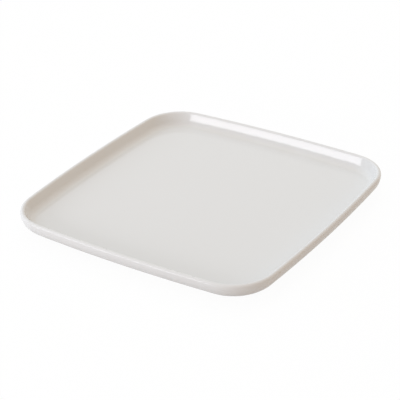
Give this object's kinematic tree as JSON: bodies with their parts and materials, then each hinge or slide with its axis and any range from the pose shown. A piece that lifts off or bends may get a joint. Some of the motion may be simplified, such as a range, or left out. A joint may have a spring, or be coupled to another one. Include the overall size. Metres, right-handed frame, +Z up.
{
  "type": "square serving plate",
  "caption": "Square glazed ceramic serving plate with bowed sides, round corners, a raised rim with a rolled lip, and a low bare foot ring.",
  "frame": {"origin": "middle of the plate on the table plane that the foot ring stands on", "axes": "+Z up, square to the well's floor; +X and +Y square to two neighbouring sides"},
  "size_m": [0.27, 0.27, 0.0212],
  "materials": {
    "bare_clay": "bare fired clay, matt and slightly sandy",
    "glaze": "smooth glossy off-white glaze"
  },
  "bodies": {
    "root": {"clay_body": "bare_clay", "glaze_coat": "glaze", "base_glaze": "glaze"}
  },
  "joints": []
}
